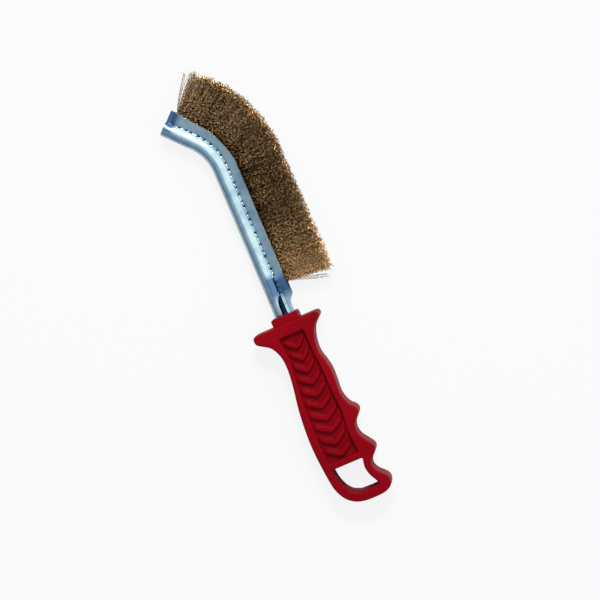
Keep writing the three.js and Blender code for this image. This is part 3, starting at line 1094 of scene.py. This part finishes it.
def spline_through(points: list, per_span: int = 12) -> np.ndarray:
    """A smooth open curve through the points (Catmull-Rom), last point left out."""
    p = np.asarray(points, float)
    p = np.vstack([2 * p[0] - p[1], p, 2 * p[-1] - p[-2]])
    t = np.linspace(0, 1, per_span, endpoint=False)[:, None]
    spans = []
    for a, b, c, d in zip(p[:-3], p[1:-2], p[2:-1], p[3:]):
        spans.append(0.5 * (2 * b + (c - a) * t + (2 * a - 5 * b + 4 * c - d) * t ** 2
                            + (3 * b - a - 3 * c + d) * t ** 3))
    return np.vstack(spans)


def inset(loop: np.ndarray, distance: float) -> np.ndarray:
    """Moves a closed anticlockwise loop inwards, or outwards if the distance is negative.

    Args:
        loop: evenly spaced points.
        distance: how far; it is held back round corners that are tighter than that.

    Returns:
        As many points, without a fold at the corners.
    """
    way = np.roll(loop, -1, axis=0) - np.roll(loop, 1, axis=0)
    gap = np.linalg.norm(way, axis=1)
    way /= gap[:, None]
    before, after = np.roll(way, 1, axis=0), np.roll(way, -1, axis=0)
    turn = (before[:, 0] * after[:, 1] - before[:, 1] * after[:, 0]) / gap
    tight = np.maximum(turn * math.copysign(1, distance), 1e-6)
    most = np.minimum(abs(distance), 0.5 / tight)
    reach = range(-5, 6)
    most = np.min([np.roll(most, k) for k in reach], axis=0)
    most = np.mean([np.roll(most, k) for k in reach], axis=0) * math.copysign(1, distance)
    return loop + np.column_stack([-way[:, 1], way[:, 0]]) * most[:, None]


class Shell:
    """Collects loops, walls and flat faces of a solid that is the same on both sides of z = 0."""

    def __init__(self) -> None:
        """Starts empty."""
        self.points: list[np.ndarray] = []
        self.faces: list[tuple[int, ...]] = []
        self.size = 0

    def loop(self, outline: np.ndarray, z: float) -> np.ndarray:
        """Adds a loop of points at height z and gives their numbers."""
        self.points.append(np.column_stack([outline, np.full(len(outline), z)]))
        first, self.size = self.size, self.size + len(outline)
        return np.arange(first, self.size)

    def wall(self, outline: np.ndarray, profile: list[tuple[float, float]], facing_out: bool) -> np.ndarray:
        """Adds a wall that follows an outline.

        Args:
            outline: the closed loop, anticlockwise.
            profile: (inset, z) steps, from the lowest z to the highest.
            facing_out: whether the wall faces away from the loop's inside.

        Returns:
            The numbers of the last loop's points.
        """
        before = None
        for distance, z in profile:
            ring = self.loop(inset(outline, distance), z)
            if before is not None:
                for a, b, c, d in zip(before, np.roll(before, -1), np.roll(ring, -1), ring):
                    self.faces.append((a, b, c, d) if facing_out else (d, c, b, a))
            before = ring
        return before

    def flat(self, outer: np.ndarray, holes: list[np.ndarray]) -> None:
        """Adds a flat face that looks up, between an outer loop and its holes."""
        everything = np.vstack(self.points)[:, :2]
        rings = (outer, *holes)
        numbers = np.concatenate(rings)
        edges, first = [], 0
        for ring in rings:
            edges += [(first + i, first + (i + 1) % len(ring)) for i in range(len(ring))]
            first += len(ring)
        plan = [Vector(point) for point in everything[numbers]]
        _, _, triangles, source, _, _ = delaunay_2d_cdt(plan, edges, [], 0, 1e-7)
        corners = [tuple(source[i][0] for i in triangle) for triangle in triangles]
        owner = {(c[k - 1], c[k]): c for c in corners for k in range(3)}
        rims = edges[:len(outer)] + [edge[::-1] for edge in edges[len(outer):]]
        walls = {*edges, *(edge[::-1] for edge in edges)}
        waiting, kept = [owner[edge] for edge in rims], set()
        while waiting:
            corner = waiting.pop()
            if corner not in kept:
                kept.add(corner)
                sides = [(corner[k - 1], corner[k]) for k in range(3)]
                waiting += [owner[side[::-1]] for side in sides if side not in walls]
        self.faces += [tuple(int(numbers[i]) for i in corner) for corner in corners if corner in kept]

    def mirrored(self) -> tuple[np.ndarray, list[tuple[int, ...]]]:
        """The whole solid: this upper half and its mirror image, joined at z = 0."""
        upper = np.vstack(self.points)
        lower = upper * np.array([1, 1, -1])
        on_seam = np.abs(upper[:, 2]) < 1e-9
        number = np.where(on_seam, np.arange(len(upper)), len(upper) + np.cumsum(~on_seam) - 1)
        faces = self.faces + [tuple(int(number[i]) for i in reversed(face)) for face in self.faces]
        return np.vstack([upper, lower[~on_seam]]), faces


def quarter(radius: float, steps: int = 6) -> list[tuple[float, float]]:
    """A quarter round from a wall to a flat top: steps inwards and down from the top."""
    turns = [math.pi / 2 * k / steps for k in range(steps + 1)]
    return [(radius * (1 - math.cos(a)), radius * (math.sin(a) - 1)) for a in turns]


@dataclass
class Handle:
    """The moulded handle: collar, guard, finger grooves, recessed panel with ribs, and hang loop."""

    place: Place
    half: float = 9.0
    edge: float = 1.0
    spacing: float = 0.45
    floor: float = 5.3
    rib_top: float = 8.3
    rib_count: int = 10
    rib_first: float = 21.9
    rib_pitch: float = 7.7
    rib_width: float = 3.4
    rib_run: float = 5.0
    rib_clearance: float = 1.4
    rib_spacing: float = 0.3
    rib_fillet: float = 0.4
    floor_fillet: float = 0.45
    lip_radius: float = 0.8
    outer_corner: float = 1.9
    gap_corner: float = 1.0
    recess_corner: float = 1.6
    collar_low: float = -8.8
    collar_high: float = 8.2
    collar_depth: float = 7.2
    guard_x: float = 4.8
    finger_edge: tuple = ((92.6, 7.8), (79, 7.1), (67, 8.6), (56, 8), (38, 8), (25, 7.2), (11.9, 7.4))
    palm_edge: tuple = ((11.9, -8.6), (25, -7.3), (37, -8.7), (49, -10.2), (61, -11.2),
                        (79, -11.9), (92.6, -11.1))

    def outline(self) -> np.ndarray:
        """The handle seen from its flat side, anticlockwise from the top of the guard's face."""
        palm = [(7.4, -22.9), (9.9, -22.3), (12.2, -18.9), (14.8, -15.2), (19.3, -12.5), (25.3, -11.1),
                (33, -11.2), (43, -12.6), (55, -14.8), (67, -16.2), (79, -16.8), (91, -16.4),
                (102.7, -15.4), (109, -14.2), (115.2, -11.1), (119.2, -6.4), (121.1, -0.7), (121.5, 6),
                (121, 13.3), (118.9, 17.7)]
        fingers = [(118.9, 17.7), (115.2, 19), (112.3, 18.3), (109.8, 16), (107.1, 13.5), (103.5, 12.1),
                   (100, 13.3), (97.6, 15.8), (94.9, 18.1), (92.5, 18.3), (88.2, 15.5), (84.2, 12.9),
                   (79.9, 12), (75.8, 13.2), (72.8, 16), (69.8, 18.2), (67, 17.6), (63.2, 14.1),
                   (56.5, 12.2), (50, 12.6), (41.5, 13.1), (35, 12.2), (30, 10.9), (25.3, 10.7),
                   (19.3, 11.7), (13.5, 14), (10.5, 16.9), (8.3, 19.5), (6.9, 20.2)]
        corners = [(5.4, 19.9), (4.7, 18.6), (4.7, -21.3), (5.4, -22.7)]
        loop = np.vstack([spline_through(palm), spline_through(fingers), corners])
        return softened(loop, self.spacing, self.outer_corner)

    def loop_gap(self) -> np.ndarray:
        """The gap inside the hang loop."""
        lower = spline_through([(96.7, -11.3), (103, -10.6), (108.6, -8.8), (113, -5.5), (115.2, -0.8)])
        upper = spline_through([(115.2, 12.1), (112, 10.7), (108.2, 8.8), (102.9, 7.6), (96.7, 8.7)])
        loop = np.vstack([lower, [(115.2, -0.8), (115.5, 6.2)], upper, [(96.7, 8.7)]])
        return softened(loop, self.spacing, self.gap_corner)

    def recess(self) -> np.ndarray:
        """The recessed panel, anticlockwise."""
        return softened(np.array([*self.palm_edge, *self.finger_edge]), self.spacing,
                        self.recess_corner)

    def rib(self, tip: float) -> np.ndarray:
        """One raised V across the panel, pointing at the hang loop."""
        back = tip - self.rib_run
        fingers, palm = sorted(self.finger_edge), sorted(self.palm_edge)
        top = float(np.interp(back, *zip(*fingers))) - self.rib_clearance
        bottom = float(np.interp(back, *zip(*palm))) + self.rib_clearance
        middle, width = (top + bottom) / 2, self.rib_width
        corners = [(tip, middle), (back, top), (back - width, top), (tip - width, middle),
                   (back - width, bottom), (back, bottom)]
        return softened(np.array(corners), self.rib_spacing, self.outer_corner)

    def fillet(self, radius: float, steps: int) -> list[tuple[float, float]]:
        """A hollow quarter round from the recess's floor to a wall: steps (inset, z)."""
        return [(radius * (1 - math.sin(a)), self.floor + radius * (1 - math.cos(a)))
                for a in np.linspace(0, math.pi / 2, steps)]

    def body(self) -> bpy.types.Object:
        """The handle without its collar and the tang's hollow."""
        shell, half, edge = Shell(), self.half, self.edge
        flat = 0.12
        top = [(d, half + z) for d, z in quarter(edge)] + [(edge + flat, half)]
        seam = [(-0.07, 0.0), (-0.07, 0.12), (0.0, 0.3), (0.0, 0.6)]
        rim = shell.wall(self.outline(), seam + top, facing_out=True)
        gap = self.loop_gap()
        gap_top = [(-d, z) for d, z in seam + top]
        hole = shell.wall(gap, gap_top, facing_out=False)
        recess = self.recess()
        foot = [(d + 0.05, z) for d, z in self.fillet(self.floor_fillet, 6)]
        lip = [(-d, half + z) for d, z in quarter(self.lip_radius)] + [(-self.lip_radius - flat, half)]
        well = shell.wall(recess, [(foot[0][0] + 0.1, self.floor), *foot, *lip], facing_out=False)
        shell.flat(rim, [hole, well])
        floor_ring = well - (len(foot) + len(lip)) * len(recess)
        base = [(-d, z) for d, z in self.fillet(self.rib_fillet, 5)]
        crown = [(d + 0.05, self.rib_top + z) for d, z in quarter(0.45, 5)] + [(0.6, self.rib_top)]
        feet = []
        for k in range(self.rib_count):
            outline = self.rib(self.rib_first + self.rib_pitch * k)
            ends = shell.wall(outline, [(-0.5, self.floor), *base, *crown], facing_out=True)
            shell.flat(ends, [])
            feet.append(ends - (len(base) + len(crown)) * len(outline))
        shell.flat(floor_ring, feet)
        points, faces = shell.mirrored()
        return mesh_object("grip_body", self.place(points), faces)

    def collar(self) -> bpy.types.Object:
        """The collar that the tang goes into: a round-edged block in front of the guard."""
        shell = Shell()
        low, high = self.collar_low, self.collar_high
        block = np.array([(0, low), (self.guard_x + 3, low), (self.guard_x + 3, high), (0, high)])
        outline = softened(block, 0.3, 1.4)
        profile = [(0.0, 0.0)] + [(d, self.collar_depth + z) for d, z in quarter(0.7)]
        top = shell.wall(outline, profile + [(0.8, self.collar_depth)], facing_out=True)
        shell.flat(top, [])
        points, faces = shell.mirrored()
        return mesh_object("collar_block", self.place(points), faces)

    def make(self, plastic: bpy.types.Material, channel: Channel) -> bpy.types.Object:
        """Builds and dresses the handle, hollowed where the tang goes in.

        Args:
            plastic: the handle's material.
            channel: the channel whose tang is moulded in.

        Returns:
            The piece.
        """
        body, collar = self.body(), self.collar()
        hollow = channel.build("tang_hollow", -channel.tang - 0.3, 1.0, channel.sheet + 0.5)
        for other, operation in ((collar, "UNION"), (hollow, "DIFFERENCE")):
            cut = body.modifiers.new(operation.lower(), "BOOLEAN")
            cut.object, cut.operation, cut.solver = other, operation, "MANIFOLD"
        mesh = baked(body, "moulded_handle")
        for part in (collar, hollow):
            bpy.data.objects.remove(part)
        for attribute in [a for a in mesh.attributes if a.name == "sheet"]:
            mesh.attributes.remove(attribute)
        mesh.shade_smooth()
        mesh.set_sharp_from_angle(angle=math.radians(35))
        piece = linked("moulded_handle", mesh)
        return dress(piece, plastic, "red_plastic", "handle")


# ---------------------------------------------------------------- studio

@dataclass
class Studio:
    """A pale floor, soft lights and the camera."""

    place: Place
    aim: tuple[float, float, float] = (-4.75, 12.94, 9.0)
    lean: tuple[float, float] = (-0.045, 0.115)
    distance: float = 1600.0
    view_width: float = 357.6
    roll: float = math.radians(66)
    floor_size: float = 6.0
    bright_side: tuple[float, float, float] = (-0.30, 0.95, -0.05)
    room: tuple = ((-1.0, "#6c7684"), (-0.3, "#a6aebb"), (-0.13, "#a3b0c4"), (0.03, "#ffffff"))
    room_light: float = 1.3
    backdrop: str = "#f4f4f4"
    key_place: tuple[float, float, float] = (-0.85, 0.45, 1.15)
    key_size: float = 0.3
    key_power: float = 20.0

    def camera(self) -> None:
        """Looks down on the flat side, turned so that the brush runs from top left to bottom right."""
        data = bpy.data.cameras.new("camera")
        camera = linked("camera", data)
        back = Vector((*self.lean, 1.0)).normalized()
        top = Vector((-math.sin(self.roll), math.cos(self.roll), 0.0))
        right = top.cross(back).normalized()
        up = back.cross(right)
        target = Vector(self.place(np.array(self.aim)))
        spot = target + back * self.distance * MM
        camera.matrix_world = Matrix((
            (right.x, up.x, back.x, spot.x), (right.y, up.y, back.y, spot.y),
            (right.z, up.z, back.z, spot.z), (0, 0, 0, 1)))
        data.sensor_width = 36.0
        data.lens = data.sensor_width * self.distance / self.view_width
        data.clip_start, data.clip_end = 0.05, 20.0
        bpy.context.scene.camera = camera

    def floor(self, board: bpy.types.Material) -> None:
        """Lays the floor just under the brush."""
        half, z = self.floor_size / 2, -0.0001
        mesh = bpy.data.meshes.new("floor")
        mesh.from_pydata([(-half, -half, z), (half, -half, z), (half, half, z), (-half, half, z)], [],
                         [(0, 1, 2, 3)])
        mesh.materials.append(board)
        plane = linked("floor", mesh)

    def lamp(self, name: str, where: tuple[float, float, float], size: float, power: float) -> None:
        """Hangs a square soft light that looks at the brush.

        Args:
            name: the light's name.
            where: its place, in metres from the brush.
            size: the length of its side, in metres.
            power: its power in watts.
        """
        data = bpy.data.lights.new(name, "AREA")
        data.size, data.energy = size, power
        light = linked(name, data)
        light.location = where
        light.rotation_mode = "QUATERNION"
        light.rotation_quaternion = Vector(where).to_track_quat("Z", "Y")

    def surroundings(self) -> None:
        """Puts a long white wall of light on the wires' side, and a grey room on the other."""
        world = bpy.data.worlds.new("studio_room")
        world.use_nodes = True
        tree = world.node_tree
        tree.nodes.clear()
        way = add(tree, "ShaderNodeTexCoord").outputs["Generated"]
        towards = add(tree, "ShaderNodeVectorMath", {0: way, 1: self.bright_side}, operation="DOT_PRODUCT")
        share = add(tree, "ShaderNodeMapRange", {"Value": towards.outputs["Value"], "From Min": -1.0})
        ramp = add(tree, "ShaderNodeValToRGB", {"Fac": share.outputs["Result"]})
        stops = ramp.color_ramp.elements
        for k, (position, colour) in enumerate(self.room):
            place = (position + 1) / 2
            stop = stops[k] if k < 2 else stops.new(place)
            if k < 2:
                stop.position = place
            stop.color = linear(colour)
        lit = add(tree, "ShaderNodeBackground", {"Color": ramp.outputs["Color"],
                                                 "Strength": self.room_light})
        seen = add(tree, "ShaderNodeBackground", {"Color": linear(self.backdrop), "Strength": 1.0})
        mixed = add(tree, "ShaderNodeMixShader", {
            0: add(tree, "ShaderNodeLightPath").outputs["Is Camera Ray"],
            1: lit.outputs["Background"], 2: seen.outputs["Background"]})
        add(tree, "ShaderNodeOutputWorld", {"Surface": mixed.outputs["Shader"]})
        bpy.context.scene.world = world

    def make(self, board: bpy.types.Material) -> None:
        """Sets up the floor, the lights, the surroundings and the camera."""
        self.camera()
        self.floor(board)
        self.lamp("key_light", self.key_place, self.key_size, self.key_power)
        self.surroundings()
        bpy.context.scene.view_settings.view_transform = "Standard"


def main() -> None:
    """Builds the brush in order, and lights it."""
    logging.basicConfig(level=logging.INFO, format="%(name)s %(message)s")
    spine = Spine()
    place = Place(spine)
    Studio(place).make(LightTable().material())
    channel = Channel(spine, place)
    channel.make(ZincPlate().material())
    CoreWire(spine, place).make(DrawnSteel().material())
    Handle(place).make(MouldedPolypropylene().material(), channel)
    WireFill(spine, place).make(BrassedWire().material())


if __name__ == "__main__":
    main()
